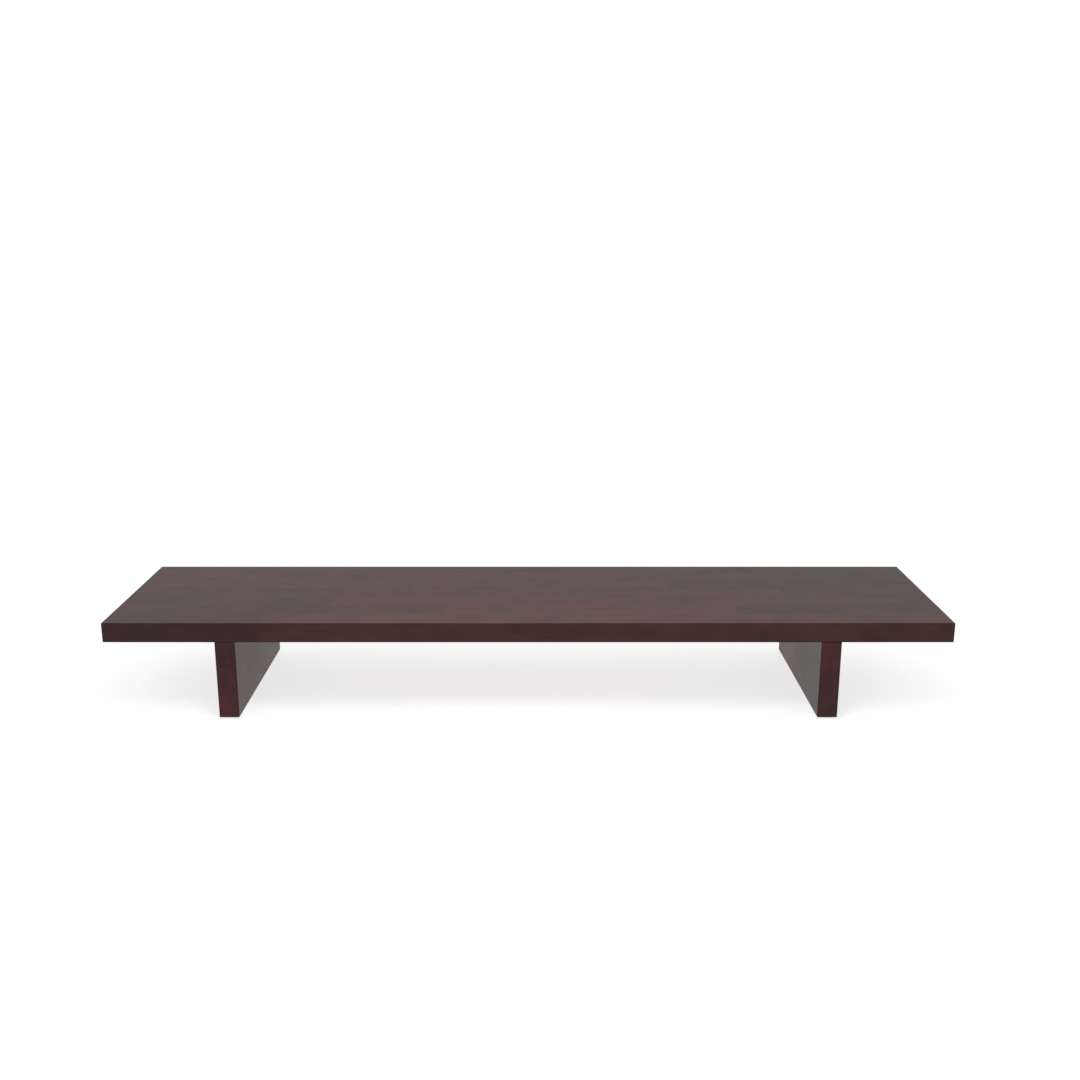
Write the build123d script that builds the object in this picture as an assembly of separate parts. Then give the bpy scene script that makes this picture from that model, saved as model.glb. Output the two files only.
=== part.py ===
"""Monitor riser stand: a wide wooden top board on two panel legs, knocked down with bolts.

Every board is an edge-glued hardwood panel with eased arrises. Each leg is located on two
fluted dowels and pulled up by two socket head bolts. A bolt rises through the leg from a
counterbore in its lower edge, over a washer, into a threaded insert in the underside of the
top. A push-in rubber foot closes each counterbore and carries the stand.

Millimetres. +X runs to the right along the length, +Y to the rear and +Z up. The origin is
on the surface the feet stand on, in the middle of the stand.
"""

from build123d import *

import os

# Boards
TOP_LENGTH = 1066.8
TOP_DEPTH = 254.0
TOP_THICKNESS = 25.4
LEG_HEIGHT = 101.6
LEG_THICKNESS = 25.4
LEG_INSET = 139.7  # end of the top to the outer face of the leg
LEG_SETBACK = 1.0  # edge of the leg behind the edge of the top, front and rear
ARRIS_RADIUS = 1.0

# Places of the fixings along the depth of a leg
BOLT_EDGE_DISTANCE = 38.0  # edge of the leg to the bolt
DOWEL_PITCH = 32.0  # bolt to the dowel inboard of it

# Socket head bolt, M6
BOLT_DIAMETER = 6.0
BOLT_LENGTH = 80.0
BOLT_ENGAGEMENT = 14.0  # reach into the top board
BOLT_HEAD_DIAMETER = 10.0
BOLT_HEAD_HEIGHT = 6.0
BOLT_THREAD_LENGTH = 24.0
BOLT_THREAD_PITCH = 1.0
BOLT_THREAD_DEPTH = 0.54
BOLT_CHAMFER = 0.6
SOCKET_WIDTH = 5.0  # across the flats
SOCKET_DEPTH = 3.2
BOLT_HOLE_CLEARANCE = 0.3  # on the radius

# Washer
WASHER_DIAMETER = 12.0
WASHER_THICKNESS = 1.6
WASHER_BORE_CLEARANCE = 0.2  # on the radius
WASHER_CHAMFER = 0.3
COUNTERBORE_CLEARANCE = 0.5  # on the radius, around the washer

# Threaded insert
INSERT_LENGTH = 15.0
INSERT_DIAMETER = 10.0  # at the root of its wood thread
INSERT_RIDGE_HEIGHT = 0.8
INSERT_RIDGE_PITCH = 2.5
INSERT_RIDGE_WIDTH = 1.0
INSERT_END_MARGIN = 1.0  # plain stretch before the first ridge
INSERT_SUNK = 0.5  # mouth below the surface of the wood
INSERT_HEX_WIDTH = 7.0
INSERT_HEX_DEPTH = 3.0
THREAD_CLEARANCE = 0.05  # on the radius, bolt crest to insert bore
INSERT_HOLE_SPARE = 2.0  # hole past the end of the insert

# Dowel
DOWEL_DIAMETER = 8.0
DOWEL_LENGTH = 38.0
DOWEL_IN_TOP = 12.0
DOWEL_FLUTES = 16
DOWEL_FLUTE_RADIUS = 0.35
DOWEL_CHAMFER = 1.0
DOWEL_HOLE_CLEARANCE = 0.05  # on the radius
DOWEL_HOLE_SPARE = 1.0  # hole past each end of the dowel

# Rubber foot
FOOT_THICKNESS = 2.0
FOOT_MARGIN = 1.2  # rim of the foot inside the flat of the leg's lower edge
FOOT_EDGE_RADIUS = 0.8
SPIGOT_LENGTH = 10.0
SPIGOT_RIBS = 3
SPIGOT_RIB_HEIGHT = 0.7
SPIGOT_RIB_WIDTH = 1.2
SPIGOT_BORE_DIAMETER = 6.0
SPIGOT_FLOOR = 1.5  # rubber left between the spigot's bore and the leg's lower edge

# Worked-out sizes
LEG_DEPTH = TOP_DEPTH - 2 * LEG_SETBACK
LEG_X = TOP_LENGTH / 2 - LEG_INSET - LEG_THICKNESS / 2
BOLT_Y = LEG_DEPTH / 2 - BOLT_EDGE_DISTANCE
DOWEL_Y = BOLT_Y - DOWEL_PITCH
UNDERSIDE_Z = FOOT_THICKNESS + LEG_HEIGHT
BOLT_TIP_Z = UNDERSIDE_Z + BOLT_ENGAGEMENT
HEAD_BEARING_Z = BOLT_TIP_Z - BOLT_LENGTH
COUNTERBORE_FLOOR_Z = HEAD_BEARING_Z + WASHER_THICKNESS
COUNTERBORE_RADIUS = WASHER_DIAMETER / 2 + COUNTERBORE_CLEARANCE
BOLT_HOLE_RADIUS = BOLT_DIAMETER / 2 + BOLT_HOLE_CLEARANCE
DOWEL_HOLE_RADIUS = DOWEL_DIAMETER / 2 + DOWEL_HOLE_CLEARANCE
INSERT_LOW_Z = UNDERSIDE_Z + INSERT_SUNK
INSERT_HIGH_Z = INSERT_LOW_Z + INSERT_LENGTH
DOWEL_TOP_Z = UNDERSIDE_Z + DOWEL_IN_TOP
FOOT_DIAMETER = LEG_THICKNESS - 2 * (ARRIS_RADIUS + FOOT_MARGIN)

SIDES = {"left": -1, "right": 1}
ENDS = {"front": -1, "rear": 1}


def upright_cylinder(radius, low, high, x=0.0, y=0.0):
    """A cylinder on a vertical axis between two heights."""
    return Pos(x, y, (low + high) / 2) * Cylinder(radius, high - low)


def turned(points):
    """The solid of revolution about Z of a closed outline of (radius, height) points."""
    outline = Polyline(*[(radius, 0, height) for radius, height in points], close=True)
    return revolve(make_face(outline), Axis.Z)


def hexagonal_prism(width, low, high):
    """A hexagonal prism of a width across the flats, upright on the Z axis."""
    flat = RegularPolygon(width / 2, 6, major_radius=False)
    return Pos(0, 0, low) * extrude(flat, high - low)


def board(length, depth, thickness):
    """A panel centred on the origin, with every arris eased."""
    blank = Box(length, depth, thickness)
    return fillet(blank.edges(), ARRIS_RADIUS)


def insert_outline():
    """The outside of a threaded insert, mouth first, as (radius, height) points."""
    root = INSERT_DIAMETER / 2
    crest = root + INSERT_RIDGE_HEIGHT
    outline = [(root, INSERT_LOW_Z)]
    ridges = int((INSERT_LENGTH - 2 * INSERT_END_MARGIN) / INSERT_RIDGE_PITCH)
    for ridge in range(ridges):
        z = INSERT_LOW_Z + INSERT_END_MARGIN + ridge * INSERT_RIDGE_PITCH
        outline += [(root, z), (crest, z + INSERT_RIDGE_WIDTH / 2), (root, z + INSERT_RIDGE_WIDTH)]
    return outline + [(root, INSERT_HIGH_Z)]


def top_board():
    """The top, drilled from below for the dowels and tapped for the inserts of both legs."""
    panel = Pos(0, 0, UNDERSIDE_Z + TOP_THICKNESS / 2) * board(TOP_LENGTH, TOP_DEPTH, TOP_THICKNESS)
    drill = INSERT_DIAMETER / 2
    low, high = UNDERSIDE_Z - ARRIS_RADIUS, INSERT_HIGH_Z + INSERT_HOLE_SPARE
    tapped_hole = turned([(0, low), (drill, low)] + insert_outline() + [(drill, high), (0, high)])
    dowel_hole = upright_cylinder(DOWEL_HOLE_RADIUS, low, DOWEL_TOP_Z + DOWEL_HOLE_SPARE)
    for side in SIDES.values():
        for end in ENDS.values():
            panel -= Pos(side * LEG_X, end * BOLT_Y, 0) * tapped_hole
            panel -= Pos(side * LEG_X, end * DOWEL_Y, 0) * dowel_hole
    return panel


def leg(side):
    """A panel leg, bored through for its bolts and drilled from above for its dowels."""
    x = side * LEG_X
    panel = Pos(x, 0, FOOT_THICKNESS + LEG_HEIGHT / 2) * board(LEG_THICKNESS, LEG_DEPTH, LEG_HEIGHT)
    dowel_hole_floor = DOWEL_TOP_Z - DOWEL_LENGTH - DOWEL_HOLE_SPARE
    above = UNDERSIDE_Z + ARRIS_RADIUS
    for end in ENDS.values():
        bolt_y = end * BOLT_Y
        panel -= upright_cylinder(BOLT_HOLE_RADIUS, 0, above, x, bolt_y)
        panel -= upright_cylinder(COUNTERBORE_RADIUS, 0, COUNTERBORE_FLOOR_Z, x, bolt_y)
        panel -= upright_cylinder(DOWEL_HOLE_RADIUS, dowel_hole_floor, above, x, end * DOWEL_Y)
    return panel


def bolt():
    """Socket head bolt, head down, on the Z axis. Its thread is a row of V ridges."""
    crest = BOLT_DIAMETER / 2
    root = crest - BOLT_THREAD_DEPTH
    head = BOLT_HEAD_DIAMETER / 2
    low = HEAD_BEARING_Z - BOLT_HEAD_HEIGHT
    outline = [
        (0, low),
        (head - BOLT_CHAMFER, low),
        (head, low + BOLT_CHAMFER),
        (head, HEAD_BEARING_Z),
        (crest, HEAD_BEARING_Z),
    ]
    ridges = round(BOLT_THREAD_LENGTH / BOLT_THREAD_PITCH)
    thread_start = BOLT_TIP_Z - BOLT_CHAMFER - ridges * BOLT_THREAD_PITCH
    for ridge in range(ridges):
        z = thread_start + ridge * BOLT_THREAD_PITCH
        outline += [(crest, z), (root, z + BOLT_THREAD_PITCH / 2)]
    outline += [
        (crest, BOLT_TIP_Z - BOLT_CHAMFER),
        (crest - BOLT_CHAMFER, BOLT_TIP_Z),
        (0, BOLT_TIP_Z),
    ]
    return turned(outline) - hexagonal_prism(SOCKET_WIDTH, low, low + SOCKET_DEPTH)


def washer():
    """Plain washer between the bolt's head and the floor of the counterbore."""
    bore = BOLT_DIAMETER / 2 + WASHER_BORE_CLEARANCE
    rim = WASHER_DIAMETER / 2
    low, high = HEAD_BEARING_Z, COUNTERBORE_FLOOR_Z
    return turned(
        [
            (bore, low),
            (rim - WASHER_CHAMFER, low),
            (rim, low + WASHER_CHAMFER),
            (rim, high),
            (bore, high),
        ]
    )


def insert():
    """Threaded insert, mouth down. V ridges bite the wood and a hexagon takes the key."""
    bore = BOLT_DIAMETER / 2 + THREAD_CLEARANCE
    body = turned([(bore, INSERT_LOW_Z)] + insert_outline() + [(bore, INSERT_HIGH_Z)])
    return body - hexagonal_prism(INSERT_HEX_WIDTH, INSERT_LOW_Z, INSERT_LOW_Z + INSERT_HEX_DEPTH)


def dowel():
    """Fluted dowel across the joint between a leg and the top."""
    radius = DOWEL_DIAMETER / 2
    low, high = DOWEL_TOP_Z - DOWEL_LENGTH, DOWEL_TOP_Z
    pin = turned(
        [
            (0, low),
            (radius - DOWEL_CHAMFER, low),
            (radius, low + DOWEL_CHAMFER),
            (radius, high - DOWEL_CHAMFER),
            (radius - DOWEL_CHAMFER, high),
            (0, high),
        ]
    )
    for flute in range(DOWEL_FLUTES):
        turn = Rot(0, 0, flute * 360 / DOWEL_FLUTES)
        pin -= turn * upright_cylinder(DOWEL_FLUTE_RADIUS, low, high, radius)
    return pin


def foot():
    """Push-in rubber foot: a round pad under the leg and a ribbed spigot in the counterbore."""
    rim = FOOT_DIAMETER / 2
    rib = COUNTERBORE_RADIUS
    core = rib - SPIGOT_RIB_HEIGHT
    bore = SPIGOT_BORE_DIAMETER / 2
    top = FOOT_THICKNESS + SPIGOT_LENGTH
    outline = [(0, 0), (rim, 0), (rim, FOOT_THICKNESS), (core, FOOT_THICKNESS)]
    gap = SPIGOT_LENGTH / (SPIGOT_RIBS + 1)
    for number in range(1, SPIGOT_RIBS + 1):
        z = FOOT_THICKNESS + number * gap
        outline += [(core, z - SPIGOT_RIB_WIDTH / 2), (rib, z), (core, z + SPIGOT_RIB_WIDTH / 2)]
    outline += [(core, top), (bore, top), (bore, FOOT_THICKNESS + SPIGOT_FLOOR)]
    outline += [(0, FOOT_THICKNESS + SPIGOT_FLOOR)]
    body = turned(outline)
    lower_rim = body.edges().filter_by(GeomType.CIRCLE).sort_by(Axis.Z)[0]
    return fillet(lower_rim, FOOT_EDGE_RADIUS)


def pieces():
    """Every piece of the stand by the name of its node."""
    made = {"top_board": top_board()}
    fixings = {
        "dowel": (dowel(), DOWEL_Y),
        "insert": (insert(), BOLT_Y),
        "bolt": (bolt(), BOLT_Y),
        "washer": (washer(), BOLT_Y),
        "foot": (foot(), BOLT_Y),
    }
    for side, x_sign in SIDES.items():
        made[f"{side}_leg"] = leg(x_sign)
        for end, y_sign in ENDS.items():
            for kind, (shape, y) in fixings.items():
                made[f"{side}_{end}_{kind}"] = Pos(x_sign * LEG_X, y_sign * y, 0) * shape
    return made


os.makedirs("parts", exist_ok=True)
for node, shape in pieces().items():
    export_step(shape, f"parts/{node}.step")
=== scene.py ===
"""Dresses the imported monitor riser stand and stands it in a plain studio.

The boards are edge-glued from finger-jointed staves, stained mahogany and lacquered to a
satin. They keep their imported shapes, as the dowels, inserts and washers inside the joints do.
The bolts are modelled here with a wound thread, a knurled head and a hexagon socket, and the
rubber feet in the detail of a moulding.

Lengths are in metres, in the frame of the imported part: +X to the right along the stand, +Y to
the rear and +Z up, from the surface that the feet stand on.
"""

import logging
import math
from collections.abc import Callable
from dataclasses import dataclass, field
from enum import Enum
from typing import ClassVar

import bmesh
import bpy
from mathutils import Matrix, Vector


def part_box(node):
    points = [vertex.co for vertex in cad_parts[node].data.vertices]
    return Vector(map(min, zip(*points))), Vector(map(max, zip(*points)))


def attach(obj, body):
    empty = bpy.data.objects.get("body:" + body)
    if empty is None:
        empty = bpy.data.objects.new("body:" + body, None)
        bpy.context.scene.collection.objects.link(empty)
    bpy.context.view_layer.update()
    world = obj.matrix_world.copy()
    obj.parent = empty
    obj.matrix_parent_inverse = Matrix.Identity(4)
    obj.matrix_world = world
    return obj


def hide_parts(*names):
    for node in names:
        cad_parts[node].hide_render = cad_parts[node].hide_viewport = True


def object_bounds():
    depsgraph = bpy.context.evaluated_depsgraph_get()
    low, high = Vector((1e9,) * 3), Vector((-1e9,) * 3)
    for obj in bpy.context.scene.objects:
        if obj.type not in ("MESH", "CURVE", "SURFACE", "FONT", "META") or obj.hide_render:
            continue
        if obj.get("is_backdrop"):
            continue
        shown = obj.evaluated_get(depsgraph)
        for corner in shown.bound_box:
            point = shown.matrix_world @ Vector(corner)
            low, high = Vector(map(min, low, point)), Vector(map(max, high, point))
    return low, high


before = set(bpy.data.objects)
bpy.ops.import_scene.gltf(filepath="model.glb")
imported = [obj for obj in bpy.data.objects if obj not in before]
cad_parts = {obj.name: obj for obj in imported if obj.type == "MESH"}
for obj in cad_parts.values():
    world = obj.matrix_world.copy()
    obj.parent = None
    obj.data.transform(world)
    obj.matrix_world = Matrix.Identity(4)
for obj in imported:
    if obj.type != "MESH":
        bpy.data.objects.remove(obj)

log = logging.getLogger("riser_stand")

MM = 0.001
ROOT_BODY = "root"
SEAM_GAP = 0.002 * MM  # points that lie nearer to each other than this are merged
CUT_TOLERANCE = 0.0001 * MM
SHARP_ANGLE = math.radians(35)  # an edge that turns more than this is a sharp one

Socket = bpy.types.NodeSocket
Feed = Socket | float | tuple[float, ...]
Colour = tuple[float, float, float]


# ---------------------------------------------------------------- node trees


@dataclass
class Graph:
    """Adds nodes to one node tree and joins them up."""

    tree: bpy.types.NodeTree

    def node(self, kind: str, **settings: object) -> bpy.types.Node:
        """Adds one node.

        Args:
            kind: The node's type, such as ShaderNodeMath.
            settings: Properties to set on it.

        Returns:
            The new node.
        """
        made = self.tree.nodes.new(kind)
        for name, value in settings.items():
            setattr(made, name, value)
        return made

    def feed(self, socket: Socket, value: Feed) -> None:
        """Joins a socket to another one, or sets its own value.

        Args:
            socket: The input socket.
            value: The socket to join it to, or the value to set.
        """
        if isinstance(value, bpy.types.NodeSocket):
            self.tree.links.new(value, socket)
        else:
            socket.default_value = value

    def math(self, operation: str, a: Feed, b: Feed = 0.0, clamp: bool = False) -> Socket:
        """Works out one or two values with a Math node.

        Args:
            operation: The node's operation.
            a: The first value.
            b: The second value.
            clamp: Whether the result is kept from 0 to 1.

        Returns:
            The result.
        """
        made = self.node("ShaderNodeMath", operation=operation, use_clamp=clamp)
        self.feed(made.inputs[0], a)
        self.feed(made.inputs[1], b)
        return made.outputs[0]

    def add_scaled(self, base: Feed, value: Feed, share: Feed) -> Socket:
        """Adds a share of a value to a base.

        Args:
            base: What the share is added to.
            value: The value that is shared out.
            share: How much of the value is added.

        Returns:
            The sum.
        """
        made = self.node("ShaderNodeMath", operation="MULTIPLY_ADD")
        for socket, given in zip(made.inputs, (value, share, base)):
            self.feed(socket, given)
        return made.outputs[0]

    def vector_math(self, operation: str, a: Feed, b: Feed = (0.0, 0.0, 0.0)) -> Socket:
        """Works out one or two vectors with a Vector Math node.

        Args:
            operation: The node's operation.
            a: The first vector.
            b: The second vector.

        Returns:
            The resulting vector.
        """
        made = self.node("ShaderNodeVectorMath", operation=operation)
        self.feed(made.inputs[0], a)
        self.feed(made.inputs[1], b)
        return made.outputs["Vector"]

    def split(self, vector: Socket) -> tuple[Socket, Socket, Socket]:
        """Takes a vector apart.

        Args:
            vector: The vector.

        Returns:
            Its three parts.
        """
        made = self.node("ShaderNodeSeparateXYZ")
        self.feed(made.inputs[0], vector)
        return tuple(made.outputs)

    def join(self, x: Feed, y: Feed, z: Feed) -> Socket:
        """Puts a vector together.

        Args:
            x: Its first part.
            y: Its second part.
            z: Its third part.

        Returns:
            The vector.
        """
        made = self.node("ShaderNodeCombineXYZ")
        for socket, value in zip(made.inputs, (x, y, z)):
            self.feed(socket, value)
        return made.outputs[0]

    def step(self, value: Socket, low: float, high: float, start: float = 0.0, end: float = 1.0) -> Socket:
        """A smooth step from start to end as a value goes from low to high.

        Args:
            value: The value that drives the step.
            low: Where the step begins.
            high: Where it is over.
            start: The result below low.
            end: The result above high.

        Returns:
            The stepped value.
        """
        made = self.node("ShaderNodeMapRange", interpolation_type="SMOOTHSTEP")
        names = ("Value", "From Min", "From Max", "To Min", "To Max")
        for name, given in zip(names, (value, low, high, start, end)):
            self.feed(made.inputs[name], given)
        return made.outputs["Result"]

    def noise(self, vector: Socket, scale: float, detail: float = 2.0) -> Socket:
        """Adds smooth noise from 0 to 1 about one half.

        Args:
            vector: The place that it is read at.
            scale: How often it changes in a unit of length.
            detail: How many finer layers it has.

        Returns:
            The noise.
        """
        made = self.node("ShaderNodeTexNoise")
        self.feed(made.inputs["Vector"], vector)
        self.feed(made.inputs["Scale"], scale)
        self.feed(made.inputs["Detail"], detail)
        return made.outputs["Fac"]

    def mix(self, factor: Feed, a: Feed, b: Feed, blend: str = "MIX") -> Socket:
        """A mix of two colours.

        Args:
            factor: How much of the second colour is taken.
            a: The first colour.
            b: The second colour.
            blend: The Mix node's blend type.

        Returns:
            The mixed colour.
        """
        made = self.node("ShaderNodeMix", data_type="RGBA", blend_type=blend)
        self.feed(made.inputs["Factor"], factor)
        for name, value in (("A", a), ("B", b)):
            socket = next(s for s in made.inputs if s.name == name and s.type == "RGBA")
            self.feed(socket, (*value, 1.0) if isinstance(value, tuple) else value)
        return next(s for s in made.outputs if s.type == "RGBA")

    def ramp(self, value: Socket, stops: dict[float, Colour]) -> Socket:
        """Reads a colour from a ramp.

        Args:
            value: The place on the ramp.
            stops: The ramp's colours by their places.

        Returns:
            The colour.
        """
        made = self.node("ShaderNodeValToRGB")
        self.feed(made.inputs["Fac"], value)
        elements = made.color_ramp.elements
        while len(elements) < len(stops):
            elements.new(0.5)
        for element, (place, colour) in zip(elements, sorted(stops.items())):
            element.position = place
            element.color = (*colour, 1.0)
        return made.outputs["Color"]

    def bump(self, height: Socket, strength: float, distance: float) -> Socket:
        """Bends the normal by a height.

        Args:
            height: The height.
            strength: How much of the bend is taken.
            distance: How far a height of one stands up, in metres.

        Returns:
            The bent normal.
        """
        made = self.node("ShaderNodeBump")
        self.feed(made.inputs["Height"], height)
        self.feed(made.inputs["Strength"], strength)
        self.feed(made.inputs["Distance"], distance)
        return made.outputs["Normal"]

    def coordinates(self, origin: tuple[float, float, float] = (0.0, 0.0, 0.0)) -> Socket:
        """Reads the place on the piece.

        Args:
            origin: The point that it is measured from.

        Returns:
            The place.
        """
        place = self.node("ShaderNodeTexCoord").outputs["Object"]
        return self.vector_math("SUBTRACT", place, tuple(origin))


class Effect:
    """A shader node group that several finishes share, built once."""

    name: ClassVar[str]
    inputs: ClassVar[dict[str, str]]
    outputs: ClassVar[dict[str, str]]
    trees: ClassVar[dict[str, bpy.types.NodeTree]] = {}

    def wire(self, graph: Graph, given: dict[str, Socket]) -> dict[str, Socket]:
        """Builds the inside of the group.

        Args:
            graph: The group's own tree.
            given: The group's inputs by name.

        Returns:
            The socket for each of the group's outputs.
        """
        raise NotImplementedError

    def tree(self) -> bpy.types.NodeTree:
        """Builds the group's tree at its first use.

        Returns:
            The tree.
        """
        if self.name not in self.trees:
            tree = bpy.data.node_groups.new(self.name, "ShaderNodeTree")
            for way, sockets in (("INPUT", self.inputs), ("OUTPUT", self.outputs)):
                for label, kind in sockets.items():
                    tree.interface.new_socket(name=label, in_out=way, socket_type=f"NodeSocket{kind}")
            graph = Graph(tree)
            entry = graph.node("NodeGroupInput")
            made = self.wire(graph, {label: entry.outputs[label] for label in self.inputs})
            leave = graph.node("NodeGroupOutput")
            for label, socket in made.items():
                graph.feed(leave.inputs[label], socket)
            self.trees[self.name] = tree
        return self.trees[self.name]

    def place(self, graph: Graph, **values: Feed) -> bpy.types.Node:
        """Puts the group into a material.

        Args:
            graph: The material's tree.
            values: The group's inputs, with underscores for the spaces in their names.

        Returns:
            The group's node there.
        """
        made = graph.node("ShaderNodeGroup", node_tree=self.tree())
        for label, value in values.items():
            graph.feed(made.inputs[label.replace("_", " ")], value)
        return made


class StaveLayout(Effect):
    """Lays a panel out in staves that are finger-jointed end to end and glued edge to edge."""

    name = "stave_layout"
    inputs = {
        "Vector": "Vector",
        "Stave Width": "Float",
        "Stave Length": "Float",
        "Ripped Off": "Float",
        "First Joint": "Float",
        "Seed": "Float",
    }
    outputs = {"Tone": "Float", "Fibre Vector": "Vector", "Glue Line": "Float"}

    stagger = 0.40  # shift of the joints from one row of staves to the next, in stave lengths
    finger_length = 9 * MM
    finger_pitch = 4.2 * MM
    glue_width = 0.25 * MM
    shuffle = 5.0  # spread of the staves along the tree, so that no two show the same grain
    pith_spread = 90 * MM
    pith_nearest = 25 * MM

    def wire(self, graph: Graph, given: dict[str, Socket]) -> dict[str, Socket]:
        """Numbers each stave, and gives it a tone and a place of its own in the tree.

        Args:
            graph: The group's own tree.
            given: The group's inputs by name.

        Returns:
            The socket for each of the group's outputs.
        """
        along, from_edge, through = graph.split(given["Vector"])
        across = graph.math("ADD", from_edge, given["Ripped Off"])
        width, length = given["Stave Width"], given["Stave Length"]
        row = graph.math("FLOOR", graph.math("DIVIDE", across, width))
        tooth = graph.math("PINGPONG", through, self.finger_pitch / 2)
        reach = graph.add_scaled(along, tooth, 2 * self.finger_length / self.finger_pitch)
        run = graph.math("DIVIDE", graph.math("SUBTRACT", reach, given["First Joint"]), length)
        run = graph.add_scaled(run, row, self.stagger)
        stave = graph.node("ShaderNodeTexWhiteNoise", noise_dimensions="3D")
        graph.feed(stave.inputs["Vector"], graph.join(row, graph.math("FLOOR", run), given["Seed"]))
        shift, side, depth = graph.split(stave.outputs["Color"])
        middle = graph.math("MULTIPLY", graph.math("ADD", row, 0.5), width)
        from_middle = graph.math("SUBTRACT", across, middle)
        fibre = graph.join(
            graph.add_scaled(along, shift, self.shuffle),
            graph.add_scaled(from_middle, graph.math("SUBTRACT", side, 0.5), self.pith_spread),
            graph.add_scaled(graph.math("ADD", through, self.pith_nearest), depth, self.pith_spread / 2),
        )
        to_edge = graph.math("PINGPONG", across, graph.math("DIVIDE", width, 2.0))
        to_end = graph.math("MULTIPLY", graph.math("PINGPONG", run, 0.5), length)
        glue = graph.step(graph.math("MINIMUM", to_edge, to_end), 0.0, self.glue_width, 1.0, 0.0)
        return {"Tone": stave.outputs["Value"], "Fibre Vector": fibre, "Glue Line": glue}


@dataclass(frozen=True)
class GrainNoise:
    """Noise that is drawn out along the grain, by how often it changes in a metre."""

    along: float
    across: float
    detail: float

    def read(self, graph: Graph, vector: Socket) -> Socket:
        """Reads the noise.

        Args:
            graph: The tree to add it to.
            vector: The place, with its first part along the grain.

        Returns:
            The noise, from 0 to 1.
        """
        stretched = graph.vector_math("MULTIPLY", vector, (self.along, self.across, self.across))
        return graph.noise(stretched, 1.0, self.detail)


class WoodFigure(Effect):
    """Growth rings, drifting streaks, mottle, fibres and pores, all drawn out along the grain."""

    name = "wood_figure"
    inputs = {
        "Vector": "Vector",
        "Ring Spacing": "Float",
        "Ring Strength": "Float",
        "Streak Strength": "Float",
        "Fibre Strength": "Float",
    }
    outputs = {"Shade": "Float", "Pores": "Float", "Cast": "Float"}

    mottle = GrainNoise(32.0, 48.0, 3.0)
    cast = GrainNoise(11.0, 26.0, 2.0)
    streaks = GrainNoise(9.0, 75.0, 3.0)
    fine_streaks = GrainNoise(16.0, 260.0, 3.0)
    fibres = GrainNoise(60.0, 1300.0, 2.0)
    vessels = GrainNoise(110.0, 1700.0, 1.0)
    fine_share = 0.55  # weight of the fine streaks beside the broad ones
    mottle_share = 1.15
    ring_stretch = 0.07  # rate at which the rings change along the grain, against across it
    ring_wander = {"Distortion": 5.0, "Detail": 2.0, "Detail Scale": 0.8}
    pore_step = (0.60, 0.67)  # noise at which a pore begins and is fully open
    cast_step = (0.35, 0.65)  # noise at which a redder patch begins and is at its reddest

    def wire(self, graph: Graph, given: dict[str, Socket]) -> dict[str, Socket]:
        """Adds the figures up about one half.

        Args:
            graph: The group's own tree.
            given: The group's inputs by name.

        Returns:
            The socket for each of the group's outputs.
        """
        vector = given["Vector"]
        rings = graph.node("ShaderNodeTexWave", wave_type="RINGS", rings_direction="X")
        slowed = graph.vector_math("MULTIPLY", vector, (self.ring_stretch, 1.0, 1.0))
        graph.feed(rings.inputs["Vector"], slowed)
        graph.feed(rings.inputs["Scale"], graph.math("DIVIDE", math.tau / 20, given["Ring Spacing"]))
        for label, value in self.ring_wander.items():
            graph.feed(rings.inputs[label], value)
        ring = graph.math("SUBTRACT", rings.outputs["Fac"], 0.5)
        shade = graph.add_scaled(0.5, ring, given["Ring Strength"])
        fine = self.fine_streaks.read(graph, vector)
        streaks = graph.add_scaled(self.streaks.read(graph, vector), fine, self.fine_share)
        streaks = graph.math("SUBTRACT", streaks, 0.5 * (1.0 + self.fine_share))
        patch = graph.math("SUBTRACT", self.mottle.read(graph, vector), 0.5)
        broad = graph.add_scaled(streaks, patch, self.mottle_share)
        shade = graph.add_scaled(shade, broad, given["Streak Strength"])
        fibres = graph.math("SUBTRACT", self.fibres.read(graph, vector), 0.5)
        return {
            "Shade": graph.add_scaled(shade, fibres, given["Fibre Strength"]),
            "Pores": graph.step(self.vessels.read(graph, vector), *self.pore_step),
            "Cast": graph.step(self.cast.read(graph, vector), *self.cast_step),
        }


class EasedArris(Effect):
    """Finds the eased edges of a box, which are darkened as painted shade and lose their gloss."""

    name = "eased_arris"
    inputs = {"Vector": "Vector", "Half Size": "Vector", "Width": "Float"}
    outputs = {"Arris": "Float", "Corner": "Float"}

    patch_scale = 60.0
    faintest = 0.45  # strength of the arris in its palest patches
    corner_reach = 3.0  # size of a corner, in widths of the arris

    def wire(self, graph: Graph, given: dict[str, Socket]) -> dict[str, Socket]:
        """The nearest edge is as far off as the second nearest face, the corner as the farthest.

        Args:
            graph: The group's own tree.
            given: The group's inputs by name.

        Returns:
            The socket for each of the group's outputs.
        """
        folded = graph.vector_math("ABSOLUTE", given["Vector"])
        x, y, z = graph.split(graph.vector_math("SUBTRACT", given["Half Size"], folded))
        farther = graph.math("MINIMUM", graph.math("MAXIMUM", x, y), z)
        to_edge = graph.math("MAXIMUM", graph.math("MINIMUM", x, y), farther)
        to_corner = graph.math("MAXIMUM", graph.math("MAXIMUM", x, y), z)
        patchy = graph.noise(given["Vector"], self.patch_scale, 4.0)
        patches = graph.step(patchy, 0.25, 0.6, self.faintest, 1.0)
        near_edge = graph.math("SUBTRACT", 1.0, graph.math("DIVIDE", to_edge, given["Width"]), clamp=True)
        corner_size = graph.math("MULTIPLY", given["Width"], self.corner_reach)
        reach = graph.math("DIVIDE", to_corner, corner_size)
        near_corner = graph.math("SUBTRACT", 1.0, reach, clamp=True)
        return {
            "Arris": graph.math("MULTIPLY", near_edge, patches),
            "Corner": graph.math("MULTIPLY", near_corner, near_edge),
        }


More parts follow.
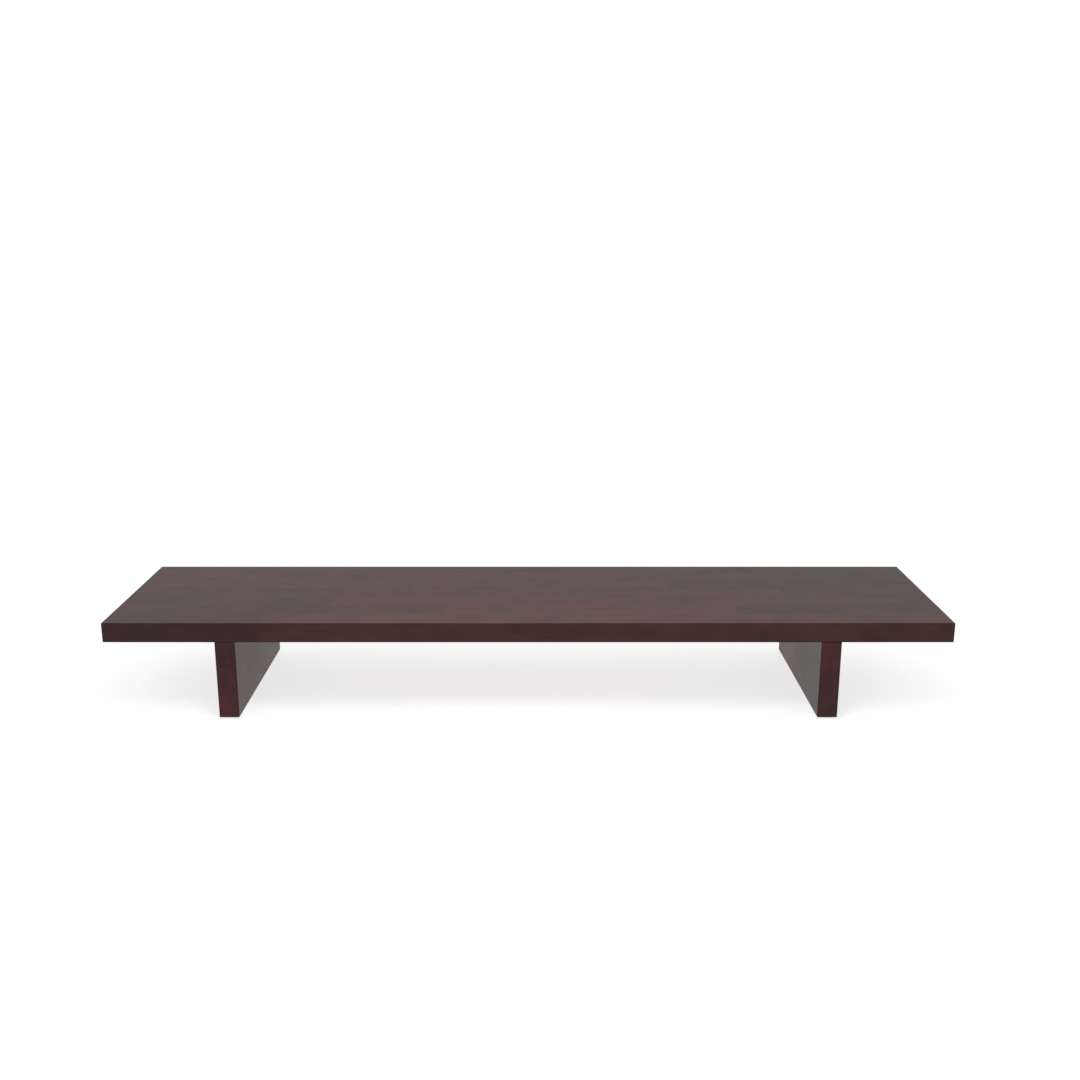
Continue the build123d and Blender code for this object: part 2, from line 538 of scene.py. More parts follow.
class HandledSurface(Effect):
    """Faint smudges and fine unevenness of a surface that has been handled."""

    name = "handled_surface"
    inputs = {"Vector": "Vector", "Roughness": "Float", "Variation": "Float", "Grain Size": "Float"}
    outputs = {"Roughness": "Float", "Height": "Float"}

    smudge_scale = 14.0

    def wire(self, graph: Graph, given: dict[str, Socket]) -> dict[str, Socket]:
        """Broad smudges change the roughness and fine grain the height.

        Args:
            graph: The group's own tree.
            given: The group's inputs by name.

        Returns:
            The socket for each of the group's outputs.
        """
        smudges = graph.math("SUBTRACT", graph.noise(given["Vector"], self.smudge_scale, 5.0), 0.5)
        fine = graph.vector_math("DIVIDE", given["Vector"], graph.join(*[given["Grain Size"]] * 3))
        return {
            "Roughness": graph.add_scaled(given["Roughness"], smudges, given["Variation"]),
            "Height": graph.noise(fine, 1.0, 2.0),
        }


# ---------------------------------------------------------------- finishes


class GrainWay(Enum):
    """The way a board's fibres run: the order in which its axes go along, across and through it."""

    LENGTHWAYS = (0, 1, 2)
    FRONT_TO_REAR = (1, 2, 0)


@dataclass(frozen=True)
class Finish:
    """A finish with a material of its own."""

    name: str

    def paint(self, graph: Graph, shader: bpy.types.Node) -> None:
        """Sets the shader's values and feeds its sockets.

        Args:
            graph: The material's tree.
            shader: Its Principled BSDF.
        """
        raise NotImplementedError

    def material(self) -> bpy.types.Material:
        """Makes the finish's material at its first use.

        Returns:
            The material.
        """
        made = bpy.data.materials.get(self.name)
        if made is None:
            made = bpy.data.materials.new(self.name)
            made.use_nodes = True
            graph = Graph(made.node_tree)
            made.node_tree.nodes.clear()
            shader = graph.node("ShaderNodeBsdfPrincipled")
            output = graph.node("ShaderNodeOutputMaterial")
            graph.feed(output.inputs["Surface"], shader.outputs["BSDF"])
            self.paint(graph, shader)
        return made


@dataclass(frozen=True)
class Stain:
    """The colours that one coat of stain gives to dark, middling and light wood."""

    darkest: Colour
    middle: Colour
    lightest: Colour


RED_BROWN = Stain((0.026, 0.0056, 0.0034), (0.070, 0.0138, 0.0056), (0.128, 0.0280, 0.0098))
MAROON = Stain((0.024, 0.0046, 0.0040), (0.066, 0.0104, 0.0070), (0.108, 0.0180, 0.0100))


@dataclass(frozen=True)
class StainedHardwood(Finish):
    """Mahogany stain under satin lacquer, on a panel of finger-jointed staves."""

    low: tuple[float, float, float]
    high: tuple[float, float, float]
    grain: GrainWay
    stain: Stain
    seed: float
    first_joint: float
    ripped_off: float
    tone_strength: float
    stave_width: float = 36.3 * MM
    stave_length: float = 375 * MM
    ring_spacing: float = 5 * MM
    ring_strength: float = 0.10
    streak_strength: float = 0.70
    fibre_strength: float = 0.22
    shade_places: tuple[float, float, float] = (0.10, 0.5, 0.92)
    redder: Colour = (1.0, 0.66, 1.12)
    redder_share: float = 0.7
    rubbed: Colour = (0.21, 0.062, 0.024)
    rubbed_share: float = 0.5
    arris_width: float = 1.8 * MM
    # share of the darkest stain laid on the eased edges as painted shade
    arris_painted_shade: float = 0.85
    arris_dulling: float = 0.5
    pore_share: float = 0.45
    pore_depth: float = 0.5
    roughness: float = 0.30
    smudging: float = 0.10
    film_grain: float = 3.5 * MM
    film_height: float = 0.05 * MM
    film_bump: float = 0.25
    lacquer_ior: float = 1.5

    def laid(self, graph: Graph, vector: Socket) -> Socket:
        """Turns a vector to run along, across and through the board.

        Args:
            graph: The material's tree.
            vector: A vector in the stand's frame.

        Returns:
            The turned vector.
        """
        parts = graph.split(vector)
        return graph.join(*[parts[axis] for axis in self.grain.value])

    def colour(self, graph: Graph, staves: bpy.types.Node, figure: bpy.types.Node) -> Socket:
        """The stained wood's colour by stave and figure, redder in some patches than in others.

        Args:
            graph: The material's tree.
            staves: The placed stave layout.
            figure: The placed wood figure.

        Returns:
            The colour.
        """
        tone = graph.math("SUBTRACT", staves.outputs["Tone"], 0.5)
        shade = graph.add_scaled(figure.outputs["Shade"], tone, self.tone_strength)
        stained = (self.stain.darkest, self.stain.middle, self.stain.lightest)
        colour = graph.ramp(shade, dict(zip(self.shade_places, stained)))
        redder = graph.mix(1.0, colour, self.redder, "MULTIPLY")
        return graph.mix(graph.math("MULTIPLY", figure.outputs["Cast"], self.redder_share), colour, redder)

    def paint(self, graph: Graph, shader: bpy.types.Node) -> None:
        """Colours each stave by its tone and figure, then lacquers the panel.

        Args:
            graph: The material's tree.
            shader: Its Principled BSDF.
        """
        centre = tuple((a + b) / 2 for a, b in zip(self.low, self.high))
        half = tuple((b - a) / 2 for a, b in zip(self.low, self.high))
        staves = StaveLayout().place(
            graph,
            Vector=self.laid(graph, graph.coordinates(self.low)),
            Stave_Width=self.stave_width,
            Stave_Length=self.stave_length,
            Ripped_Off=self.ripped_off,
            First_Joint=self.first_joint,
            Seed=self.seed,
        )
        figure = WoodFigure().place(
            graph,
            Vector=staves.outputs["Fibre Vector"],
            Ring_Spacing=self.ring_spacing,
            Ring_Strength=self.ring_strength,
            Streak_Strength=self.streak_strength,
            Fibre_Strength=self.fibre_strength,
        )
        from_centre = graph.coordinates(centre)
        eased = EasedArris().place(graph, Vector=from_centre, Half_Size=half, Width=self.arris_width)
        arris, corner = eased.outputs["Arris"], eased.outputs["Corner"]
        dark = graph.math("MAXIMUM", staves.outputs["Glue Line"], figure.outputs["Pores"])
        colour = self.colour(graph, staves, figure)
        # the eased edges take the darkest stain as painted shade, the corners the paler colour of wear,
        # the glue lines and pores their own dark
        for mask, share, coat in (
            (arris, self.arris_painted_shade, self.stain.darkest),
            (corner, self.rubbed_share, self.rubbed),
            (dark, self.pore_share, self.stain.darkest),
        ):
            colour = graph.mix(graph.math("MULTIPLY", mask, share), colour, coat)
        film = HandledSurface().place(
            graph,
            Vector=from_centre,
            Roughness=self.roughness,
            Variation=self.smudging,
            Grain_Size=self.film_grain,
        )
        roughness = graph.add_scaled(film.outputs["Roughness"], arris, self.arris_dulling)
        height = graph.add_scaled(film.outputs["Height"], dark, -self.pore_depth)
        graph.feed(shader.inputs["Base Color"], colour)
        graph.feed(shader.inputs["Roughness"], roughness)
        graph.feed(shader.inputs["Normal"], graph.bump(height, self.film_bump, self.film_height))
        shader.inputs["IOR"].default_value = self.lacquer_ior


@dataclass(frozen=True)
class Beech(Finish):
    """Bare, compressed beech, with its grain upright."""

    shaded: Colour = (0.34, 0.19, 0.09)
    pale: Colour = (0.64, 0.43, 0.24)
    fleck: Colour = (0.22, 0.11, 0.05)
    roughness: float = 0.68
    ring_spacing: float = 2.5 * MM
    grain_height: float = 0.1 * MM

    def paint(self, graph: Graph, shader: bpy.types.Node) -> None:
        """Pale fibres and short dark flecks.

        Args:
            graph: The material's tree.
            shader: Its Principled BSDF.
        """
        x, y, z = graph.split(graph.coordinates())
        figure = WoodFigure().place(
            graph,
            Vector=graph.join(z, x, y),
            Ring_Spacing=self.ring_spacing,
            Ring_Strength=0.3,
            Streak_Strength=0.4,
            Fibre_Strength=0.6,
        )
        colour = graph.ramp(figure.outputs["Shade"], {0.1: self.shaded, 0.9: self.pale})
        colour = graph.mix(figure.outputs["Pores"], colour, self.fleck)
        graph.feed(shader.inputs["Base Color"], colour)
        graph.feed(shader.inputs["Normal"], graph.bump(figure.outputs["Shade"], 0.4, self.grain_height))
        shader.inputs["Roughness"].default_value = self.roughness


@dataclass(frozen=True)
class Metal(Finish):
    """A plated or turned metal, a little duller where it has been handled."""

    colour: Colour
    tarnish: Colour
    roughness: float
    smudging: float = 0.3
    cloud_scale: float = 160.0
    grain_size: float = 0.3 * MM
    grain_height: float = 0.02 * MM

    def paint(self, graph: Graph, shader: bpy.types.Node) -> None:
        """Clouds the bright metal with tarnish.

        Args:
            graph: The material's tree.
            shader: Its Principled BSDF.
        """
        place = graph.coordinates()
        skin = HandledSurface().place(
            graph,
            Vector=place,
            Roughness=self.roughness,
            Variation=self.smudging,
            Grain_Size=self.grain_size,
        )
        clouds = graph.step(graph.noise(place, self.cloud_scale, 4.0), 0.45, 0.75)
        graph.feed(shader.inputs["Base Color"], graph.mix(clouds, self.colour, self.tarnish))
        graph.feed(shader.inputs["Roughness"], skin.outputs["Roughness"])
        graph.feed(shader.inputs["Normal"], graph.bump(skin.outputs["Height"], 0.2, self.grain_height))
        shader.inputs["Metallic"].default_value = 1.0


ZINC_PLATE = Metal("zinc_plate", (0.62, 0.63, 0.66), (0.42, 0.42, 0.42), 0.30)
TURNED_BRASS = Metal("turned_brass", (0.72, 0.50, 0.20), (0.42, 0.27, 0.10), 0.28)


@dataclass(frozen=True)
class MouldedRubber(Finish):
    """Matt black rubber with the fine spark texture of its mould and a little dust."""

    colour: Colour = (0.018, 0.018, 0.019)
    dust: Colour = (0.11, 0.105, 0.10)
    dust_scale: float = 220.0
    most_dust: float = 0.5
    roughness: float = 0.72
    smudging: float = 0.2
    grain_size: float = 0.35 * MM
    grain_height: float = 0.05 * MM

    def paint(self, graph: Graph, shader: bpy.types.Node) -> None:
        """Textures the rubber and lets dust lie on it in patches.

        Args:
            graph: The material's tree.
            shader: Its Principled BSDF.
        """
        place = graph.coordinates()
        skin = HandledSurface().place(
            graph,
            Vector=place,
            Roughness=self.roughness,
            Variation=self.smudging,
            Grain_Size=self.grain_size,
        )
        patches = graph.step(graph.noise(place, self.dust_scale, 5.0), 0.5, 0.85, 0.0, self.most_dust)
        graph.feed(shader.inputs["Base Color"], graph.mix(patches, self.colour, self.dust))
        graph.feed(shader.inputs["Roughness"], skin.outputs["Roughness"])
        graph.feed(shader.inputs["Normal"], graph.bump(skin.outputs["Height"], 0.6, self.grain_height))


# ---------------------------------------------------------------- the stand


def dress(node_name: str, finish: Finish) -> None:
    """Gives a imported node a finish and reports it.

    Args:
        node_name: The node.
        finish: Its finish.
    """
    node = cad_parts[node_name]
    for slot in node.material_slots:
        slot.material = finish.material()
    log.info("%s: packed shape, %s", node_name, finish.name)


@dataclass
class Board:
    """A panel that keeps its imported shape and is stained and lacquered.

    Its first row of staves is narrower by what the rip saw took off, and the first joint
    between two staves of that row lies so far from the start of the row.
    """

    node: str
    grain: GrainWay
    stain: Stain
    seed: float
    first_joint: float
    ripped_off: float = 0.0
    tone_strength: float = 0.38

    def build(self) -> None:
        """Dresses the board in staves laid out from its own low corner."""
        low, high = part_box(self.node)
        finish = StainedHardwood(
            name=f"stained_{self.node}",
            low=tuple(low),
            high=tuple(high),
            grain=self.grain,
            stain=self.stain,
            seed=self.seed,
            first_joint=self.first_joint,
            ripped_off=self.ripped_off,
            tone_strength=self.tone_strength,
        )
        dress(self.node, finish)


@dataclass
class Fixings:
    """The dowel, insert and washer at one end of a leg, sealed in the joint."""

    corner: str
    finishes: dict[str, Finish] = field(
        default_factory=lambda: {
            "dowel": Beech("bare_beech"),
            "insert": TURNED_BRASS,
            "washer": ZINC_PLATE,
        }
    )

    def build(self) -> None:
        """Dresses each fixing."""
        for kind, finish in self.finishes.items():
            dress(f"{self.corner}_{kind}", finish)


def select_only(piece: bpy.types.Object, kind: str, test: Callable[[Vector], bool]) -> None:
    """Selects a piece's faces, edges or points in edit mode, and nothing else.

    Args:
        piece: The piece in edit mode.
        kind: FACE, to test the centres of faces, EDGE, to test both ends of edges, or VERT.
        test: Says whether a point passes.
    """
    bpy.ops.mesh.select_mode(type=kind)
    bpy.ops.mesh.select_all(action="DESELECT")
    mesh = bmesh.from_edit_mesh(piece.data)
    if kind == "FACE":
        for face in mesh.faces:
            face.select_set(test(face.calc_center_median()))
    elif kind == "EDGE":
        for edge in mesh.edges:
            edge.select_set(all(test(end.co) for end in edge.verts))
    else:
        for point in mesh.verts:
            point.select_set(test(point.co))
    mesh.select_flush_mode()
    bmesh.update_edit_mesh(piece.data)


def cylinder(facets: int, radius: float, middle: Vector, low: float, high: float) -> bpy.types.Object:
    """Adds an upright cylinder and leaves it in edit mode.

    Args:
        facets: Its number of sides.
        radius: Its radius.
        middle: A point on its axis.
        low: The height of its lower end.
        high: The height of its upper end.

    Returns:
        The cylinder.
    """
    bpy.ops.object.select_all(action="DESELECT")
    bpy.ops.mesh.primitive_cylinder_add(
        vertices=facets, radius=radius, depth=high - low, location=(middle.x, middle.y, (low + high) / 2)
    )
    bpy.ops.object.transform_apply(location=True, rotation=True, scale=True)
    bpy.ops.object.mode_set(mode="EDIT")
    return bpy.context.object


def scale_about(middle: Vector, ratio: float) -> None:
    """Scales the selection sideways from an upright axis.

    Args:
        middle: A point on the axis.
        ratio: Its new size over its old one.
    """
    bpy.ops.transform.resize(value=(ratio, ratio, 1.0), center_override=middle)


def draw_out(middle: Vector, rise: float, ratio: float = 1.0) -> None:
    """Extrudes the selected end face along an upright axis.

    Args:
        middle: A point on the axis.
        rise: How far up the face goes.
        ratio: Its new radius over its old one.
    """
    bpy.ops.mesh.extrude_region_move(TRANSFORM_OT_translate={"value": (0.0, 0.0, rise)})
    if ratio != 1.0:
        scale_about(middle, ratio)


def close_seams() -> None:
    """Merges the points that lie together in the piece in edit mode and turns its faces outward."""
    bpy.ops.mesh.select_all(action="SELECT")
    bpy.ops.mesh.remove_doubles(threshold=SEAM_GAP)
    bpy.ops.mesh.normals_make_consistent(inside=False)


def combine(piece: bpy.types.Object, tool: bpy.types.Object, operation: str) -> None:
    """Joins, cuts or trims a piece with a tool, which is used up.

    Args:
        piece: The piece that is kept.
        tool: The other solid.
        operation: UNION, DIFFERENCE or INTERSECT.
    """
    bpy.ops.object.select_all(action="DESELECT")
    bpy.context.view_layer.objects.active = piece
    piece.select_set(True)
    change = piece.modifiers.new("combine", "BOOLEAN")
    change.object = tool
    change.operation = operation
    change.solver = "EXACT"
    bpy.ops.object.modifier_apply(modifier=change.name)
    bpy.data.objects.remove(tool)


@dataclass
class CornerPiece:
    """A small part that is modelled at the first corner and copied to the others."""

    packed_kind: ClassVar[str]
    kind: ClassVar[str]
    slot: ClassVar[str]

    finish: Finish

    def model(self, low: Vector, high: Vector) -> bpy.types.Object:
        """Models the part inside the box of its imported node.

        Args:
            low: The box's low corner.
            high: The box's high corner.

        Returns:
            The part, active and in object mode.
        """
        raise NotImplementedError

    def seat(self, piece: bpy.types.Object, corner: str) -> None:
        """Puts a part in the place of a packed one and reports it.

        Args:
            piece: The part.
            corner: The corner's name, such as left_front.
        """
        piece.name = f"{corner}_{self.kind}"
        piece.data.name = piece.name
        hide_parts(f"{corner}_{self.packed_kind}")
        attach(piece, ROOT_BODY)
        log.info("%s: modelled, %d faces", piece.name, len(piece.data.polygons))

    def build(self, corners: list[str]) -> None:
        """Models the first corner's part, finishes it and copies it to the others.

        Args:
            corners: The corners' names.
        """
        low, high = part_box(f"{corners[0]}_{self.packed_kind}")
        first = self.model(low, high)
        bpy.ops.object.shade_smooth_by_angle(angle=SHARP_ANGLE)
        first.data.materials.append(self.finish.material())
        for corner in corners[1:]:
            copy = first.copy()
            copy.data = first.data.copy()
            copy.data.transform(Matrix.Translation(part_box(f"{corner}_{self.packed_kind}")[0] - low))
            bpy.context.scene.collection.objects.link(copy)
            self.seat(copy, corner)
        self.seat(first, corners[0])


@dataclass
class SocketBolts(CornerPiece):
    """M6 socket head bolts: a knurled head with a hexagon socket, a plain shank and a wound thread."""

    packed_kind = "bolt"
    kind = "socket_bolt"
    slot = "bolt_steel"

    teeth: int = 48
    head_height: float = 6.0 * MM
    head_chamfer: float = 0.6 * MM
    knurl_margin: float = 0.9 * MM
    knurl_run_out: float = 0.2 * MM
    knurl_ratio: float = 0.955
    socket_flats: float = 5.0 * MM
    socket_depth: float = 3.2 * MM
    shank_radius: float = 3.0 * MM
    neck_radius: float = 2.2 * MM
    root_radius: float = 2.46 * MM
    pitch: float = 1.0 * MM
    thread_length: float = 24.6 * MM
    thread_overlap: float = 0.4 * MM
    tip_chamfer: float = 0.6 * MM
    sleeve_ratio: float = 1.01
    sleeve_excess: float = 0.001 * MM
    turn_steps: int = 36

    def blank(self, middle: Vector, low: float, radius: float, end: float) -> bpy.types.Object:
        """Turns the head and the shank, and presses the knurl into the head.

        Args:
            middle: A point on the bolt's axis.
            low: The height of the head's lower face.
            radius: The head's radius.
            end: The height at which the shank ends.

        Returns:
            The blank.
        """
        chamfer, margin, run_out = self.head_chamfer, self.knurl_margin, self.knurl_run_out
        knurl = self.head_height - 2 * margin - 2 * run_out
        piece = cylinder(2 * self.teeth, radius, middle, low, low + chamfer)
        select_only(piece, "FACE", lambda point: point.z < low + chamfer / 10)
        scale_about(middle, (radius - chamfer) / radius)
        select_only(piece, "FACE", lambda point: point.z > low + chamfer * 0.9)
        for rise in (margin - chamfer, run_out, knurl, run_out, margin):
            draw_out(middle, rise)
        bpy.ops.mesh.inset(thickness=radius - self.shank_radius)
        slope = self.shank_radius - self.neck_radius
        draw_out(middle, end - slope - low - self.head_height)
        draw_out(middle, slope, self.neck_radius / self.shank_radius)

        def in_valley(point: Vector) -> bool:
            """Whether a point is on every second line of the knurled band."""
            if not low + margin + run_out / 2 < point.z < low + self.head_height - margin - run_out / 2:
                return False
            line = math.atan2(point.y - middle.y, point.x - middle.x) * self.teeth / math.pi
            return round(line) % 2 == 1

        select_only(piece, "VERT", in_valley)
        scale_about(middle, self.knurl_ratio)
        bpy.ops.object.mode_set(mode="OBJECT")
        return piece

    def socket(self, middle: Vector, low: float) -> bpy.types.Object:
        """Makes the solid that the hexagon socket takes out of the head.

        Args:
            middle: A point on the bolt's axis.
            low: The height of the head's lower face.

        Returns:
            The solid.
        """
        corner_radius = self.socket_flats / 2 / math.cos(math.pi / 6)
        tool = cylinder(6, corner_radius, middle, low - self.socket_depth, low + self.socket_depth)
        bpy.ops.object.mode_set(mode="OBJECT")
        return tool

    def thread(self, middle: Vector, start: float, tip: float) -> bpy.types.Object:
        """Winds one pitch of the thread's outline round the axis and cuts the rod to length.

        Args:
            middle: A point on the bolt's axis.
            start: The height of the rod's lower end.
            tip: The height of the bolt's tip.

        Returns:
            The threaded rod.
        """
        turns = math.ceil((tip - start) / self.pitch) + 4
        origin = (middle.x, middle.y, start - 2 * self.pitch)
        bpy.ops.object.select_all(action="DESELECT")
        bpy.ops.mesh.primitive_plane_add(size=self.pitch, location=origin)
        rod = bpy.context.object
        bpy.ops.object.mode_set(mode="EDIT")
        bpy.ops.mesh.select_mode(type="VERT")
        bpy.ops.mesh.select_all(action="SELECT")
        bpy.ops.mesh.merge(type="CENTER")
        bpy.ops.transform.translate(value=(self.root_radius, 0.0, 0.0))
        rise = self.shank_radius - self.root_radius
        flat, flank = self.pitch / 8, self.pitch * 5 / 16
        for out, up in ((0.0, flat), (rise, flank), (0.0, flat), (-rise, flank), (0.0, flat)):
            bpy.ops.mesh.extrude_vertices_move(TRANSFORM_OT_translate={"value": (out, 0.0, up)})
        bpy.ops.object.mode_set(mode="OBJECT")
        winding = rod.modifiers.new("winding", "SCREW")
        winding.axis = "Z"
        winding.screw_offset = self.pitch
        winding.iterations = turns
        winding.steps = self.turn_steps
        winding.render_steps = self.turn_steps
        bpy.ops.object.modifier_apply(modifier=winding.name)
        bpy.ops.object.transform_apply(location=True, rotation=True, scale=True)
        bpy.ops.object.mode_set(mode="EDIT")
        close_seams()
        for height, lower in ((start, True), (tip, False)):
            bpy.ops.mesh.select_all(action="SELECT")
            bpy.ops.mesh.bisect(
                plane_co=(middle.x, middle.y, height),
                plane_no=(0.0, 0.0, 1.0),
                use_fill=True,
                clear_inner=lower,
                clear_outer=not lower,
                threshold=CUT_TOLERANCE,
            )
        close_seams()
        bpy.ops.object.mode_set(mode="OBJECT")
        return rod

    def tip_sleeve(self, middle: Vector, low: float, tip: float) -> bpy.types.Object:
        """Makes the solid, chamfered at its tip, that the threaded rod is trimmed to.

        Args:
            middle: A point on the bolt's axis.
            low: The height at which the shank ends.
            tip: The height of the bolt's tip.

        Returns:
            The solid.
        """
        clear = self.sleeve_ratio * self.shank_radius
        shoulder = tip - self.tip_chamfer
        sleeve = cylinder(2 * self.turn_steps, clear, middle, low - self.pitch, shoulder)
        select_only(sleeve, "FACE", lambda point: abs(point.z - shoulder) < self.pitch / 10)
        end_ratio = (self.shank_radius - self.tip_chamfer) / clear
        draw_out(middle, self.tip_chamfer + self.sleeve_excess, end_ratio)
        bpy.ops.object.mode_set(mode="OBJECT")
        return sleeve

    def model(self, low: Vector, high: Vector) -> bpy.types.Object:
        """Turns the blank, broaches its socket and winds its thread.

        Args:
            low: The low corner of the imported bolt's box.
            high: The box's high corner.

        Returns:
            The bolt, active and in object mode.
        """
        middle = Vector(((low.x + high.x) / 2, (low.y + high.y) / 2, 0.0))
        end = high.z - self.thread_length
        bolt = self.blank(middle, low.z, (high.x - low.x) / 2, end)
        combine(bolt, self.socket(middle, low.z), "DIFFERENCE")
        rod = self.thread(middle, end - self.thread_overlap, high.z)
        combine(rod, self.tip_sleeve(middle, end, high.z), "INTERSECT")
        combine(bolt, rod, "UNION")
        bpy.ops.object.mode_set(mode="EDIT")
        close_seams()
        bpy.ops.object.mode_set(mode="OBJECT")
        return bolt


@dataclass
class RubberFeet(CornerPiece):
    """Push-in feet: a pad with grip rings under the leg and a ribbed, hollow spigot in its bore."""

    packed_kind = "foot"
    kind = "rubber_foot"
    slot = "foot_rubber"

    facets: int = 72
    pad_height: float = 2.0 * MM
    rim_radius: float = 0.8 * MM
    core_radius: float = 5.8 * MM
    rib_height: float = 0.7 * MM
    rib_width: float = 1.2 * MM
    ribs: int = 3
    bore_radius: float = 3.0 * MM
    bore_floor: float = 3.5 * MM
    land_width: float = 1.4 * MM
    groove_width: float = 0.7 * MM
    groove_depth: float = 0.4 * MM
    grooves: int = 2
    rim_segments: int = 6
    edge_round: float = 0.12 * MM

    def spigot(self, piece: bpy.types.Object, middle: Vector, radius: float, top: float) -> None:
        """Draws the spigot up out of the pad, rib by rib, and hollows it from its end.

        Args:
            piece: The foot in edit mode.
            middle: A point on its axis.
            radius: The pad's radius.
            top: The height of the spigot's end.
        """
        pad = self.pad_height
        select_only(piece, "FACE", lambda point: abs(point.z - pad) < pad / 10)
        bpy.ops.mesh.inset(thickness=radius - self.core_radius)
        swell = 1 + self.rib_height / self.core_radius
        gap = (top - pad) / (self.ribs + 1)
        plain = gap - self.rib_width / 2
        for _ in range(self.ribs):
            draw_out(middle, plain)
            draw_out(middle, self.rib_width / 2, swell)
            draw_out(middle, self.rib_width / 2, 1 / swell)
            plain = gap - self.rib_width
        draw_out(middle, gap - self.rib_width / 2)
        bpy.ops.mesh.inset(thickness=self.core_radius - self.bore_radius)
        draw_out(middle, self.bore_floor - top)

    def grip(self, piece: bpy.types.Object, middle: Vector, radius: float) -> None:
        """Cuts rings and a middle recess into the pad's tread and rounds its rim.

        Args:
            piece: The foot in edit mode.
            middle: A point on its axis.
            radius: The pad's radius.
        """
        flat = self.pad_height / 10
        select_only(piece, "FACE", lambda point: abs(point.z) < flat)
        bpy.ops.mesh.inset(thickness=self.rim_radius)
        for _ in range(self.grooves):
            bpy.ops.mesh.inset(thickness=self.land_width)
            draw_out(middle, self.groove_depth)
            bpy.ops.mesh.inset(thickness=self.groove_width)
            draw_out(middle, -self.groove_depth)
        bpy.ops.mesh.inset(thickness=self.land_width)
        draw_out(middle, self.groove_depth)

        def on_rim(point: Vector) -> bool:
            """Whether a point lies on the lower rim."""
            return abs(point.z) < flat and (point - middle).to_2d().length > radius * 0.99

        select_only(piece, "EDGE", on_rim)
        bpy.ops.mesh.bevel(offset=self.rim_radius * 0.98, segments=self.rim_segments, affect="EDGES")

    def model(self, low: Vector, high: Vector) -> bpy.types.Object:
        """Moulds the pad, its spigot and its tread, then rounds every edge a little.

        Args:
            low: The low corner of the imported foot's box.
            high: The box's high corner.

        Returns:
            The foot, active and in object mode.
        """
        radius = (high.x - low.x) / 2
        middle = Vector(((low.x + high.x) / 2, (low.y + high.y) / 2, 0.0))
        foot = cylinder(self.facets, radius, middle, 0.0, self.pad_height)
        self.spigot(foot, middle, radius, high.z)
        self.grip(foot, middle, radius)
        close_seams()
        bpy.ops.object.mode_set(mode="OBJECT")
        rounding = foot.modifiers.new("edge_round", "BEVEL")
        rounding.width = self.edge_round
        rounding.segments = 2
        rounding.limit_method = "ANGLE"
        rounding.angle_limit = SHARP_ANGLE
        bpy.ops.object.modifier_apply(modifier=rounding.name)
        return foot


# ---------------------------------------------------------------- the studio


